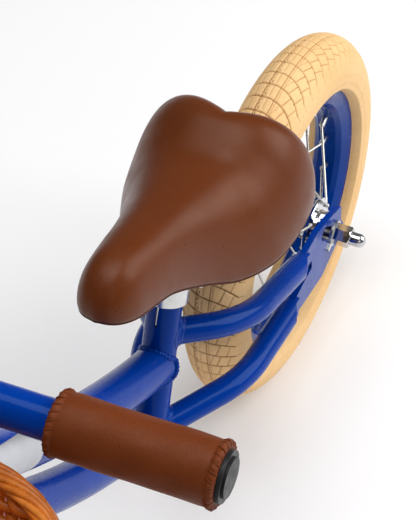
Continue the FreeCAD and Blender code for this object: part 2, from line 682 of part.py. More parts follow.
def dome_wire(x, half_w, lip, crown):
    """Arched saddle section standing on the level of its lip."""
    base = REAR + V(x, 0, lip)
    height = crown - lip
    points = []
    for i in range(13):
        a = math.pi * i / 12
        points.append(base + V(0, half_w * math.cos(a), height * math.sin(a) ** 0.9))
    curve = Part.BSplineCurve()
    curve.interpolate(points)
    return Part.Wire([curve.toShape(), Part.LineSegment(points[-1], points[0]).toShape()])


def saddle_plan():
    """Heart-shaped plan: two rounded lobes at the back, a narrow nose."""
    points = [REAR + V(x, y, 90) for x, y in SADDLE_PLAN] + [REAR + V(304, 0, 90)]
    points += [REAR + V(x, -y, 90) for x, y in reversed(SADDLE_PLAN[1:])]
    curve = Part.BSplineCurve()
    curve.interpolate(points, PeriodicFlag=True)
    return Part.Face(Part.Wire(curve.toShape())).extrude(V(0, 0, 120))


def pan_block(inset, thickness=None):
    """Block under the cover: a thin layer under the roof, or all below it."""
    wires = []
    for x, half_w, lip, roof, _ in SADDLE_STATIONS[1:-1]:
        w = half_w - inset
        low = roof - thickness if thickness else lip - 15.0
        high = roof - 0.3 if thickness else roof
        corners = [REAR + V(x, s * w, z) for s, z in ((-1, low), (1, low), (1, high), (-1, high))]
        wires.append(Part.makePolygon(corners + corners[:1]))
    return Part.makeLoft(wires, True, True)


def saddle_cover():
    wires = [dome_wire(x, half_w, lip, crown) for x, half_w, lip, _, crown in SADDLE_STATIONS]
    cover = Part.makeLoft(wires, True).common(saddle_plan())
    return largest(cover.cut(pan_block(7.0)))


def saddle_base():
    return pan_block(7.3, 4.0)


def clamp_centre():
    return seat_point(276)


def saddle_rails():
    """Two bent steel rods from the back of the base to its nose."""
    solids = []
    level = clamp_centre().z + 8.6
    for _, side in SIDES:
        rail_y = side * 21.0
        points = [V(REAR.x + 112, side * 30, REAR.z + 144.5), V(REAR.x + 134, rail_y, level),
                  V(REAR.x + 214, rail_y, level), V(REAR.x + 250, side * 9, REAR.z + 163.5)]
        solids.append(sweep(bent_path(points, 14.0), 3.5).cut(saddle_base()))
    return group([largest(s) for s in solids])


def seatpost():
    """Post with a cross barrel at its head for the saddle's bolt."""
    centre = clamp_centre()
    tube = pipe(seat_point(150), seat_point(270), SEATPOST_R, SEATPOST_R - 2.0)
    neck = rod(seat_point(262), centre, 8.6)
    barrel = rod(centre - V(0, 15, 0), centre + V(0, 15, 0), 9.0)
    return fuse([tube, neck, barrel]).cut(rod(centre - V(0, 30, 0), centre + V(0, 30, 0), 4.05))


def saddle_clamp():
    """Round cheeks either side of the barrel that grip the rails."""
    centre = clamp_centre()
    solids = []
    for side in (1, -1):
        cheek = rod(centre + V(0, side * 15.3, 0), centre + V(0, side * 26.5, 0), 12.4)
        rail = rod(centre + V(-40, side * 21, 8.6), centre + V(40, side * 21, 8.6), 3.5)
        bolt = rod(centre, centre + V(0, side * 40, 0), 4.05)
        solids.append(cheek.cut(rail).cut(bolt))
    return group(solids)


def saddle_clamp_bolt():
    centre = clamp_centre()
    shank = rod(centre - V(0, 30.4, 0), centre + V(0, 30.4, 0), 4.0)
    nuts = [rod(centre + V(0, s * 26.6, 0), centre + V(0, s * 30.0, 0), 6.8) for s in (1, -1)]
    return fuse([shank] + nuts)


# ---- assembly ---------------------------------------------------------------------------
def wheel_parts(name, centre):
    return {name + "_tyre": tyre(centre), name + "_inner_tube": inner_tube(centre),
            name + "_rim": rim(centre), name + "_spokes": spokes(centre),
            name + "_hub": hub(centre), name + "_hub_balls": hub_balls(centre)}


def axle_parts(name, centre, tab_at):
    return {name + "_axle": axle(centre), name + "_cones": cones(centre),
            name + "_washers": group([washer(centre, s, tab_at) for s in (1, -1)]),
            name + "_axle_nuts": axle_nuts(centre)}


def build():
    nodes, tubes = frame_tubes()
    plates = {name: dropout(side) for name, side in SIDES}
    nodes.update({name + "_dropout": shape for name, shape in plates.items()})
    nodes.update(stays(tubes, plates))
    nodes.update({"seat_clamp": seat_clamp(), "seat_clamp_bolt": seat_clamp_bolt(), "badge": badge(),
                  "headset_cups": headset_cups(), "headset_balls": headset_balls()})
    nodes.update(axle_parts("rear", REAR, -28.0))
    nodes.update({"fork_steerer": fork_steerer(), "fork_crown": fork_crown(),
                  "left_fork_blade": fork_blade(1), "right_fork_blade": fork_blade(-1),
                  "fork_ends": group([fork_end(1), fork_end(-1)]),
                  "headset_races": headset_races(), "headset_locknut": headset_locknut()})
    nodes.update(axle_parts("front", FRONT, 115.0))
    nodes.update({"stem": stem(), "stem_bolts": stem_bolts(), "stem_wedge": stem_wedge(),
                  "handlebar": handlebar(), "left_grip": grip(1), "right_grip": grip(-1),
                  "grip_plugs": grip_plugs(), "basket_bowl": basket_bowl(), "basket_rim": basket_rim(),
                  "basket_straps": basket_straps(), "strap_buckles": strap_buckles()})
    nodes.update({"seatpost": seatpost(), "saddle_cover": saddle_cover(), "saddle_base": saddle_base(),
                  "saddle_rails": saddle_rails(), "saddle_clamp": saddle_clamp(),
                  "saddle_clamp_bolt": saddle_clamp_bolt()})
    nodes.update(wheel_parts("rear", REAR))
    nodes.update(wheel_parts("front", FRONT))
    return nodes


def main():
    os.makedirs(OUT, exist_ok=True)
    for name, shape in build().items():
        if not shape.isValid() or not shape.Solids:
            print("check this shape:", name, shape.ShapeType, len(shape.Solids))
        shape.exportStep(os.path.join(OUT, name + ".step"))
        print("%-20s solids %3d  volume %10.1f" % (name, len(shape.Solids), shape.Volume))


main()
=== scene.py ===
"""Balance bike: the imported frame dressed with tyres, leather, wicker and paint."""
import json
import math
import random

import bmesh
import bpy
import numpy as np
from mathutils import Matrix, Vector


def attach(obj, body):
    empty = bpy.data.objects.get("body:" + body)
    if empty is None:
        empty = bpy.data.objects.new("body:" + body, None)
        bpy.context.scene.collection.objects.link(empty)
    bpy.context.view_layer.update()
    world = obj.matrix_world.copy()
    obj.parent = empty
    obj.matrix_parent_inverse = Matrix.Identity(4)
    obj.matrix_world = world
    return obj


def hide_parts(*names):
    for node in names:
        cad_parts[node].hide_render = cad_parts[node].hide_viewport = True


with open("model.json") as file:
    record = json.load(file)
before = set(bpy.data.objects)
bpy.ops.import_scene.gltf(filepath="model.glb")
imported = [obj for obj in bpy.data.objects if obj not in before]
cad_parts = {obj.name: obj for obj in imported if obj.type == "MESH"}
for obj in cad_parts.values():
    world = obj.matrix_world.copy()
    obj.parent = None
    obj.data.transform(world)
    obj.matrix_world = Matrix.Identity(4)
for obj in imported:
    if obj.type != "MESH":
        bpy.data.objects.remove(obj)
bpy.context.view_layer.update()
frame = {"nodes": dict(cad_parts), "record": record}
RNG = random.Random(7)
MM = 0.001

# ---- layout shared with the CAD, in millimetres ---------------------------------
WHEEL_R = 150.0
REAR = np.array((-290.0, 0.0, WHEEL_R))
FRONT = np.array((290.0, 0.0, WHEEL_R))
SEAT_LEAN = math.radians(16.0)
SEAT_UP = np.array((-math.sin(SEAT_LEAN), 0.0, math.cos(SEAT_LEAN)))
HEAD = math.radians(70.0)
FORK_OFFSET = 25.0
STEER_UP = np.array((-math.cos(HEAD), 0.0, math.sin(HEAD)))
STEER_FWD = np.array((math.sin(HEAD), 0.0, math.cos(HEAD)))
STEER_FOOT = FRONT - STEER_FWD * FORK_OFFSET
TOP_TUBE_R, DOWN_TUBE_R, STAY_R = 15.0, 14.3, 9.75
SEAT_TUBE_R, HEAD_TUBE_R = 12.5, 17.0
BAR_CENTRE = np.array((201.841, 0.0, 458.0))
BAR_STRAIGHT = 32.0
SWEEP = math.radians(3.1)
GRIP_INNER_END, GRIP_LENGTH = 85.0, 88.0
BASKET_X, BASKET_TOP, BASKET_BASE = 287.0, 432.0, 322.0
STRAP_Y = 32.0


def seat_point(height):
    """Point of the seat tube's axis at a height over the ground."""
    return np.array((-80.0 - math.tan(SEAT_LEAN) * (height - 230.0), 0.0, height))


def steer_point(along):
    """Point of the steering axis, so far up from its foot beside the front axle."""
    return STEER_FOOT + STEER_UP * along


def bar_point(y):
    """Point of the handlebar's axis: straight in the middle, then swept back."""
    back = max(abs(y) - BAR_STRAIGHT, 0.0) * math.tan(SWEEP)
    return BAR_CENTRE + np.array((-back, y, 0.0))


# ---- meshes ---------------------------------------------------------------------
def grid_faces(nu, nv, wrap_u=False, wrap_v=False):
    """Quads of an nu by nv grid of vertices, numbered row by row."""
    iu = np.arange(nu if wrap_u else nu - 1)
    iv = np.arange(nv if wrap_v else nv - 1)
    a, b = np.meshgrid(iu, iv, indexing="ij")
    a2, b2 = (a + 1) % nu, (b + 1) % nv
    quads = np.stack((a * nv + b, a2 * nv + b, a2 * nv + b2, a * nv + b2), axis=-1)
    return quads.reshape(-1, 4)


def merge(parts):
    """One vertex array and one face list from several."""
    verts, faces, start = [], [], 0
    for v, f in parts:
        verts.append(np.asarray(v, dtype=float))
        rows = f if isinstance(f, list) else f.tolist()
        faces += [[i + start for i in face] for face in rows]
        start += len(v)
    return np.concatenate(verts), faces


def resample(loop, count=None, step=None):
    """Even points round a closed loop, and how far along it each one is."""
    gaps = np.linalg.norm(np.roll(loop, -1, axis=0) - loop, axis=1)
    length = np.concatenate(([0], np.cumsum(gaps)))
    closed = np.vstack((loop, loop[:1]))
    at = np.linspace(0, length[-1], count or int(length[-1] / step), endpoint=False)
    return np.stack([np.interp(at, length, closed[:, k]) for k in range(3)], axis=1), at


def add_piece(name, verts, faces, mat, body, replaces=()):
    """A mesh object from millimetre vertices, riding on a body."""
    mesh = bpy.data.meshes.new(name)
    rows = faces if isinstance(faces, list) else faces.tolist()
    mesh.from_pydata((np.asarray(verts) * MM).tolist(), [], rows)
    mesh.update()
    mesh.shade_smooth()
    obj = bpy.data.objects.new(name, mesh)
    bpy.context.scene.collection.objects.link(obj)
    mesh.materials.append(mat)
    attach(obj, body)
    if replaces:
        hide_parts(*replaces)
    return obj


def paint_attribute(obj, name, values):
    """Store one number per vertex, for the material to read."""
    attribute = obj.data.attributes.new(name, "FLOAT", "POINT")
    attribute.data.foreach_set("value", np.asarray(values, dtype=np.float32).ravel())


def tube(points, radius, sides=8, closed=False):
    """Vertices and faces of a round strand that follows the points."""
    p = np.asarray(points, dtype=float)
    n = len(p)
    if closed:
        tangent = np.roll(p, -1, axis=0) - np.roll(p, 1, axis=0)
    else:
        tangent = np.gradient(p, axis=0)
    tangent /= np.linalg.norm(tangent, axis=1)[:, None]
    normal = np.zeros_like(p)
    seed = np.array((0.0, 0.0, 1.0)) if abs(tangent[0][2]) < 0.9 else np.array((1.0, 0.0, 0.0))
    current = np.cross(tangent[0], seed)
    for i in range(n):
        current = current - tangent[i] * np.dot(current, tangent[i])
        current /= np.linalg.norm(current)
        normal[i] = current
    if closed:
        last = normal[-1] - tangent[0] * np.dot(normal[-1], tangent[0])
        last /= np.linalg.norm(last)
        twist = math.atan2(np.dot(np.cross(normal[0], last), tangent[0]), np.dot(normal[0], last))
        turn = -twist * np.arange(n) / n
        other = np.cross(tangent, normal)
        normal = normal * np.cos(turn)[:, None] + other * np.sin(turn)[:, None]
    binormal = np.cross(tangent, normal)
    a = np.linspace(0, 2 * math.pi, sides, endpoint=False)
    r = np.broadcast_to(np.asarray(radius, dtype=float), (n,))[:, None, None]
    ring = (np.cos(a)[None, :, None] * normal[:, None, :]
            + np.sin(a)[None, :, None] * binormal[:, None, :])
    verts = (p[:, None, :] + ring * r).reshape(-1, 3)
    faces = grid_faces(n, sides, closed, True).tolist()
    if not closed:
        faces.append(list(range(sides))[::-1])
        faces.append([(n - 1) * sides + i for i in range(sides)])
    return verts, faces


# ---- materials --------------------------------------------------------------------
class Shader:
    """Small wrapper to build a procedural material."""

    def __init__(self, name, base, rough, metal=0.0, coat=0.0, coat_rough=0.1, spec=0.5,
                 spec_tint=(1, 1, 1)):
        self.mat = bpy.data.materials.new(name)
        self.mat.use_nodes = True
        self.tree = self.mat.node_tree
        self.bsdf = self.tree.nodes["Principled BSDF"]
        values = {"Base Color": (*base, 1), "Roughness": rough, "Metallic": metal,
                  "Coat Weight": coat, "Coat Roughness": coat_rough,
                  "Specular IOR Level": spec, "Specular Tint": (*spec_tint, 1)}
        for key, value in values.items():
            self.bsdf.inputs[key].default_value = value
        self.coords = self.node("ShaderNodeTexCoord").outputs["Object"]
        self.height = None

    def node(self, kind, **settings):
        node = self.tree.nodes.new(kind)
        for key, value in settings.items():
            setattr(node, key, value)
        return node

    def link(self, a, b):
        self.tree.links.new(a, b)

    def noise(self, scale, detail=3.0, rough=0.5, stretch=None):
        """Noise with features of about 1/scale metres."""
        tex = self.node("ShaderNodeTexNoise")
        tex.inputs["Scale"].default_value = scale
        tex.inputs["Detail"].default_value = detail
        tex.inputs["Roughness"].default_value = rough
        source = self.coords
        if stretch:
            mapping = self.node("ShaderNodeMapping")
            mapping.inputs["Scale"].default_value = stretch
            self.link(self.coords, mapping.inputs["Vector"])
            source = mapping.outputs["Vector"]
        self.link(source, tex.inputs["Vector"])
        return tex.outputs["Fac"]

    def cell_edges(self, scale):
        """Distance to the nearest edge of random cells, as in grained leather."""
        tex = self.node("ShaderNodeTexVoronoi", feature="DISTANCE_TO_EDGE")
        tex.inputs["Scale"].default_value = scale
        self.link(self.coords, tex.inputs["Vector"])
        return tex.outputs["Distance"]

    def attribute(self, name):
        return self.node("ShaderNodeAttribute", attribute_name=name).outputs["Fac"]

    def ramp(self, value, low, high, a=0.0, b=1.0):
        """Map value from low..high onto a..b."""
        node = self.node("ShaderNodeMapRange")
        for key, v in (("From Min", low), ("From Max", high), ("To Min", a), ("To Max", b)):
            node.inputs[key].default_value = v
        self.link(value, node.inputs["Value"])
        return node.outputs["Result"]

    def mix(self, factor, a, b):
        """Blend two colours, each a tuple or a socket."""
        node = self.node("ShaderNodeMix", data_type="RGBA")
        self.link(factor, node.inputs["Factor"])
        first, second, result = node.inputs[6], node.inputs[7], node.outputs[2]
        for socket, value in ((first, a), (second, b)):
            if isinstance(value, tuple):
                socket.default_value = (*value, 1)
            else:
                self.link(value, socket)
        return result

    def colour(self, socket):
        self.link(socket, self.bsdf.inputs["Base Color"])
        return self

    def roughness(self, socket):
        self.link(socket, self.bsdf.inputs["Roughness"])
        return self

    def bump(self, socket, strength, distance):
        """Add relief on top of any that is there already."""
        node = self.node("ShaderNodeBump")
        node.inputs["Strength"].default_value = strength
        node.inputs["Distance"].default_value = distance
        self.link(socket, node.inputs["Height"])
        if self.height is not None:
            self.link(self.height, node.inputs["Normal"])
        self.height = node.outputs["Normal"]
        self.link(self.height, self.bsdf.inputs["Normal"])
        return self


def make_paint(name, light, dark):
    """Gloss enamel with a faint orange-peel ripple."""
    s = Shader(name, light, 0.24, coat=0.12, coat_rough=0.02, spec=0.12, spec_tint=(0.05, 0.45, 1.0))
    s.colour(s.mix(s.ramp(s.noise(9.0), 0.35, 0.65), light, dark))
    s.roughness(s.ramp(s.noise(60.0), 0.3, 0.7, 0.20, 0.30))
    return s.bump(s.noise(110.0, 1.0), 0.025, 0.0005).mat


def make_metal(name, base, rough, spread=0.06, stretch=None, tint=None):
    """Plated or polished metal, uneven in gloss and tone."""
    s = Shader(name, base, rough, metal=1.0)
    grain = s.noise(260.0, 4.0, 0.6, stretch)
    s.roughness(s.ramp(grain, 0.3, 0.7, max(rough - spread, 0.02), rough + spread))
    s.colour(s.mix(s.ramp(s.noise(35.0), 0.35, 0.7), base, tint or tuple(c * 0.82 for c in base)))
    return s.bump(grain, 0.04, 0.0003).mat


def make_leather(name, light, dark, rough, grain, strength):
    """Satin leather with fine cells of grain and soft darker patches."""
    s = Shader(name, light, rough, spec=0.24, spec_tint=(1.0, 0.80, 0.68))
    patches = s.ramp(s.noise(14.0, 4.0, 0.6), 0.35, 0.68)
    cells = s.cell_edges(grain)
    creases = s.ramp(cells, 0.0, 0.09)
    body = s.mix(patches, light, dark)
    s.colour(s.mix(creases, tuple(c * 0.72 for c in dark), body))
    s.roughness(s.ramp(s.noise(70.0, 3.0), 0.3, 0.7, rough - 0.07, rough + 0.08))
    s.bump(s.noise(300.0, 4.0), strength * 0.5, 0.0006)
    return s.bump(creases, strength, 0.0003).mat


def make_plastic(name, base, rough):
    """Moulded plastic or rubber with a fine matt texture."""
    s = Shader(name, base, rough, spec=0.2)
    worn = tuple(min(c * 1.5 + 0.01, 1) for c in base)
    s.colour(s.mix(s.ramp(s.noise(40.0), 0.35, 0.65), base, worn))
    s.roughness(s.ramp(s.noise(200.0), 0.3, 0.7, rough - 0.08, rough + 0.08))
    return s.bump(s.noise(1100.0, 2.0), 0.12, 0.0003).mat


def make_tyre():
    """Cream rubber, with painted shade that makes it darker and browner down in the grooves."""
    # line is the painted shade colour laid into the tyre's grooves
    cream, warm, line = (0.86, 0.565, 0.27), (0.80, 0.50, 0.22), (0.36, 0.165, 0.05)
    s = Shader("cream_tyre_rubber", cream, 0.72, spec=0.35)
    body = s.mix(s.ramp(s.noise(22.0, 5.0, 0.6), 0.35, 0.7), cream, warm)
    specks = s.mix(s.ramp(s.noise(900.0, 2.0), 0.60, 0.72), body, (0.60, 0.36, 0.15))
    # painted shade: the deeper the groove, the nearer the colour comes to line
    s.colour(s.mix(s.ramp(s.attribute("groove"), 0.15, 0.95), specks, line))
    s.roughness(s.ramp(s.noise(90.0), 0.3, 0.7, 0.62, 0.82))
    return s.bump(s.noise(700.0, 3.0), 0.18, 0.0004).mat


def make_wicker():
    """Stained cane, each strand of its own tone, with darker streaks."""
    honey, deep, pale = (0.66, 0.150, 0.005), (0.26, 0.046, 0.002), (0.82, 0.27, 0.04)
    s = Shader("wicker_cane", honey, 0.38, coat=0.18, coat_rough=0.22, spec=0.3)
    tint = s.mix(s.ramp(s.attribute("strand"), 0.0, 1.0), honey, pale)
    streaks = s.ramp(s.noise(55.0, 5.0, 0.65), 0.40, 0.72)
    s.colour(s.mix(s.ramp(streaks, 0.0, 1.0, 0.0, 0.75), tint, deep))
    s.roughness(s.ramp(s.noise(120.0), 0.3, 0.7, 0.30, 0.50))
    return s.bump(s.noise(380.0, 4.0, 0.6), 0.35, 0.0006).mat


PAINT = make_paint("blue_enamel", (0.0, 0.036, 0.29), (0.0, 0.029, 0.25))
RIM_PAINT = make_paint("rim_enamel", (0.0, 0.036, 0.26), (0.0, 0.028, 0.21))
CHROME = make_metal("bright_chrome_plate", (0.64, 0.64, 0.66), 0.10, 0.04)
ALLOY = make_metal("polished_alloy", (0.74, 0.74, 0.73), 0.24, 0.06)
ZINC = make_metal("zinc_plate", (0.62, 0.62, 0.60), 0.30, 0.08, tint=(0.50, 0.49, 0.44))
STEEL_BALL = make_metal("bearing_steel", (0.66, 0.66, 0.68), 0.12, 0.03)
BADGE = make_metal("satin_name_plate", (0.56, 0.57, 0.60), 0.50, 0.05, stretch=(1.0, 1.0, 12.0))
SADDLE = make_leather("saddle_leather", (0.135, 0.031, 0.006), (0.118, 0.026, 0.005),
                      rough=0.34, grain=1300.0, strength=0.12)
GRIP = make_leather("grip_leather", (0.160, 0.032, 0.0045), (0.128, 0.024, 0.003),
                    rough=0.52, grain=1100.0, strength=0.20)
STRAP = make_leather("strap_leather", (0.16, 0.048, 0.016), (0.11, 0.030, 0.010),
                     rough=0.50, grain=800.0, strength=0.30)
THREAD = make_leather("waxed_thread", (0.085, 0.024, 0.008), (0.060, 0.017, 0.006),
                      rough=0.55, grain=1500.0, strength=0.4)
PLASTIC = make_plastic("moulded_black_plastic", (0.010, 0.010, 0.011), 0.42)
RUBBER = make_plastic("inner_tube_rubber", (0.015, 0.015, 0.015), 0.62)
TYRE = make_tyre()
WICKER = make_wicker()

NODE_FINISH = {
    "blue_paint": PAINT, "rim_paint": RIM_PAINT, "cream_tyre": TYRE, "black_rubber": RUBBER,
    "tan_leather": STRAP, "saddle_leather": SADDLE, "black_plastic": PLASTIC, "wicker": WICKER,
    "badge_plate": BADGE, "bright_chrome": CHROME, "cast_alloy": ALLOY, "zinc_steel": ZINC}


def finish_cad_nodes():
    """Give every carried-over node the material of its slot."""
    slots = {s["node"]: s["material_slot"] for s in frame["record"]["subparts"]}
    for name, obj in frame["nodes"].items():
        mat = STEEL_BALL if name.endswith("_balls") else NODE_FINISH[slots[name]]
        if not obj.material_slots:
            obj.data.materials.append(mat)
        for slot in obj.material_slots:
            slot.material = mat


# ---- tyres --------------------------------------------------------------------------
# The tyre's section is an oval. Across it, v is the distance in mm from the crown line
# over the surface; round the wheel, u is the distance along the crown.
TYRE_HALF_W, TYRE_HALF_H, TYRE_MID_R = 24.9, 27.7, 122.3
BEAD_ANGLE = math.radians(113)
TREAD_HALF_W = 33.0
TREAD_STEP, WALL_STEP = 0.6, 0.9
PITCHES = 70
PITCH = 2 * math.pi * WHEEL_R / PITCHES
ROWS_PER_TILE = 46
GROOVE_EDGE = 0.5


def arc_line(start_v, end_v, radius, u_start, steps=9):
    """A groove that leaves the crown squarely and bends round towards the front."""
    out = []
    for i in range(steps):
        v = start_v + (end_v - start_v) * i / (steps - 1)
        run = min(abs(v - start_v) / radius, 0.999)
        out.append((u_start - radius * (1 - math.sqrt(1 - run * run)), v))
    return out


def tread_lines():
    """Grooves of one two-pitch tile: (points (u, v), half width, depth)."""
    lines = [([(1.0, 6.5), (11.5, 10.0)], 0.38, 0.75)]
    for k in (0, 1):
        u = k * PITCH
        lines += [
            (arc_line(-5.5, 27.0, 48.0, u), 0.62, 1.25),
            (arc_line(27.0, 32.5, 20.0, u - 12.7), 0.45, 0.7),
            ([(u, -5.5), (u + 1.2, -12), (u + 1.5, -20), (u + 0.5, -27)], 0.75, 1.35),
            ([(u - 2.0, 11.5), (u + 9.0, 15.0)], 0.50, 0.95),
            ([(u - 8.0, 19.0), (u + 2.5, 22.5)], 0.48, 0.85),
            ([(u + 2.0, -13.6), (u + 12.5, -14.4)], 0.50, 0.95),
            ([(u + 2.5, -20.6), (u + 12.0, -21.5)], 0.45, 0.8),
            ([(u + 2.5, -1.0), (u + 12.0, -1.0)], 0.40, 0.8),
            ([(u + 0.8, -6.3), (u + 1.6, -4.4), (u + 3.2, -4.2), (u + 3.8, -5.8)], 0.42, 1.1),
            ([(u + 6.0, -5.4), (u + 7.6, -5.2)], 0.45, 1.1),
            ([(u + 9.6, -6.2), (u + 10.6, -4.8), (u + 12.0, -5.4)], 0.42, 1.1)]
    return lines


def groove_mask(u, v):
    """Depth in mm at each (u, v) of the tile, with smooth groove walls."""
    depth = np.zeros_like(u)
    circles = ((4.3, 0.36, 0.95, 0.0), (6.0, 0.22, 0.6, 0.0), (-7.0, 0.42, 1.25, 0.2))
    for centre, half, deep, wobble in circles:
        d = np.abs(v - centre - wobble * np.sin(2 * math.pi * 3 * u / PITCH))
        depth = np.maximum(depth, deep * np.clip((half + 0.3 - d) / GROOVE_EDGE, 0, 1))
    for points, half, deep in tread_lines():
        nearest = np.full_like(u, np.inf)
        for (u0, v0), (u1, v1) in zip(points, points[1:]):
            for wrap in (-2 * PITCH, 0.0, 2 * PITCH, 4 * PITCH):
                du, dv = u1 - u0, v1 - v0
                along, across = u + wrap - u0, v - v0
                t = np.clip((along * du + across * dv) / (du * du + dv * dv), 0, 1)
                nearest = np.minimum(nearest, np.hypot(along - t * du, across - t * dv))
        wall = np.clip((half * 0.72 + 0.25 - nearest) / GROOVE_EDGE, 0, 1)
        depth = np.maximum(depth, deep * wall)
    return depth


def tyre_profile():
    """Samples across the tyre from bead to bead: v, y, radius, and the outward normal."""
    t = np.linspace(-BEAD_ANGLE, BEAD_ANGLE, 4001)
    y, r = TYRE_HALF_W * np.sin(t), TYRE_MID_R + TYRE_HALF_H * np.cos(t)
    length = np.concatenate(([0], np.cumsum(np.hypot(np.diff(y), np.diff(r)))))
    length -= length[len(length) // 2]
    tread = np.arange(-TREAD_HALF_W, TREAD_HALF_W + 0.01, TREAD_STEP)
    wall = np.concatenate((np.arange(TREAD_HALF_W + 0.8, length[-1], WALL_STEP), [length[-1]]))
    v = np.concatenate((-wall[::-1], tread, wall))
    ts = np.interp(v, length, t)
    ys, rs = TYRE_HALF_W * np.sin(ts), TYRE_MID_R + TYRE_HALF_H * np.cos(ts)
    ny, nr = np.sin(ts) / TYRE_HALF_W, np.cos(ts) / TYRE_HALF_H
    size = np.hypot(ny, nr)
    return v, ys, rs, ny / size, nr / size


def build_tyres():
    """Both tyres, with a moulded tread and raised rings on the side walls."""
    v, y, r, ny, nr = tyre_profile()
    tile_u = np.arange(ROWS_PER_TILE) * (2 * PITCH / ROWS_PER_TILE)
    uu, vv = np.meshgrid(tile_u, v, indexing="ij")
    depth = groove_mask(uu, vv)
    depth[:, np.abs(v) > TREAD_HALF_W + 1.0] = 0.0
    ridge, slope = np.zeros_like(v), 0.7
    rings = ((36.6, 0.5, 0.22), (38.8, 0.5, 0.22), (45.5, 0.6, 0.25), (52.6, 2.2, 0.45))
    for centre, half, height in rings:
        ridge += height * np.clip((half + slope - np.abs(np.abs(v) - centre)) / slope, 0, 1)
    depth = np.tile(depth, (PITCHES // 2, 1))
    n = len(depth)
    angle = np.arange(n) * 2 * math.pi / n
    lift = ridge[None, :] - depth
    yy = y[None, :] + ny[None, :] * lift
    rr = r[None, :] + nr[None, :] * lift
    bead = np.array(((16.9, 110.0), (15.2, 109.2), (13.4, 107.6)))
    bead_y = np.broadcast_to(bead[:, 0], (n, 3))
    bead_r = np.broadcast_to(bead[:, 1], (n, 3))
    yy = np.concatenate((-bead_y[:, ::-1], yy, bead_y), axis=1)
    rr = np.concatenate((bead_r[:, ::-1], rr, bead_r), axis=1)
    bare = np.zeros((n, 3))
    # groove depth, which the tyre material turns into painted shade in the grooves
    groove = np.concatenate((bare, np.clip(depth / 1.1, 0, 1), bare), axis=1)
    m = yy.shape[1]
    x, z = rr * np.cos(angle)[:, None], rr * np.sin(angle)[:, None]
    xyz = np.stack((x, yy, z), axis=-1).reshape(-1, 3)
    faces = grid_faces(n, m, True, True)
    for wheel, centre in (("rear", REAR), ("front", FRONT)):
        obj = add_piece(wheel + "_tyre_moulded", xyz + centre, faces, TYRE, wheel + "_wheel",
                        (wheel + "_tyre",))
        paint_attribute(obj, "groove", groove)


# ---- saddle ---------------------------------------------------------------------------
# Heights (x, z) and half plan (x, y) in mm from the rear axle: the crown line, the edge,
# the roof of the hollow underneath, and the outline from the tail round to the nose.
SADDLE_TOP = (
    (82, 188), (105, 194), (120, 193.8), (135, 187.6), (150, 182.9), (166, 182.7), (182, 183.9),
    (211, 187.5), (235, 191.3), (254, 194.5), (270, 196.6), (281, 195.3), (304, 189.1))
SADDLE_LIP = (
    (82, 128), (95, 121.4), (120, 115), (150, 108.9), (182, 112.1), (211, 128.6), (240, 145.8),
    (254, 151.8), (285, 159.6), (304, 164.8))
SADDLE_ROOF = (
    (80, 150.5), (104, 150.5), (125, 146.5), (152, 144.5), (182, 148.5), (211, 158), (240, 166.2),
    (270, 174.5), (292, 176), (304, 177.5))
SADDLE_PLAN = (
    (93.7, 0), (89.4, 8.1), (86.3, 18.1), (83.4, 30.1), (81.9, 41), (83, 51.9), (88.7, 60.4),
    (99.7, 64.7), (114.9, 65.6), (131.8, 64.3), (152, 60.2), (168, 53.9), (186, 45.7), (206, 37.1),
    (228, 30.7), (250, 26.7), (268, 24.2), (283, 21.9), (294, 17.4), (301, 10.5), (304, 0))
SPINE_ENDS = (122.0, 279.0)
EDGE_ROLL = 3.7


def smooth_curve(points, count):
    """Evenly spaced points on a Catmull-Rom curve through the given ones."""
    p = np.asarray(points, dtype=float)
    ext = np.vstack((p[0] * 2 - p[1], p, p[-1] * 2 - p[-2]))
    out = []
    for i in range(1, len(ext) - 2):
        a, b, c, d = ext[i - 1:i + 3]
        for t in np.linspace(0, 1, 24, endpoint=False):
            out.append(0.5 * (2 * b + (c - a) * t + (2 * a - 5 * b + 4 * c - d) * t ** 2
                              + (3 * b - a - 3 * c + d) * t ** 3))
    out.append(p[-1])
    out = np.array(out)
    length = np.concatenate(([0], np.cumsum(np.linalg.norm(np.diff(out, axis=0), axis=1))))
    at = np.linspace(0, length[-1], count)
    return np.stack([np.interp(at, length, out[:, k]) for k in range(out.shape[1])], axis=1)


def saddle_outline(count=120):
    """The whole outline, from the tail along the left side and back on the right."""
    half = smooth_curve([(x, max(y, 0.0)) for x, y in SADDLE_PLAN], count)
    mirrored = half[1:-1][::-1] * np.array((1, -1))
    return np.vstack((half, mirrored))


def profile(table):
    """A function of x that runs smoothly through the table's (x, z) points."""
    dense = smooth_curve(table, 400)
    return lambda x: np.interp(x, dense[:, 0], dense[:, 1])


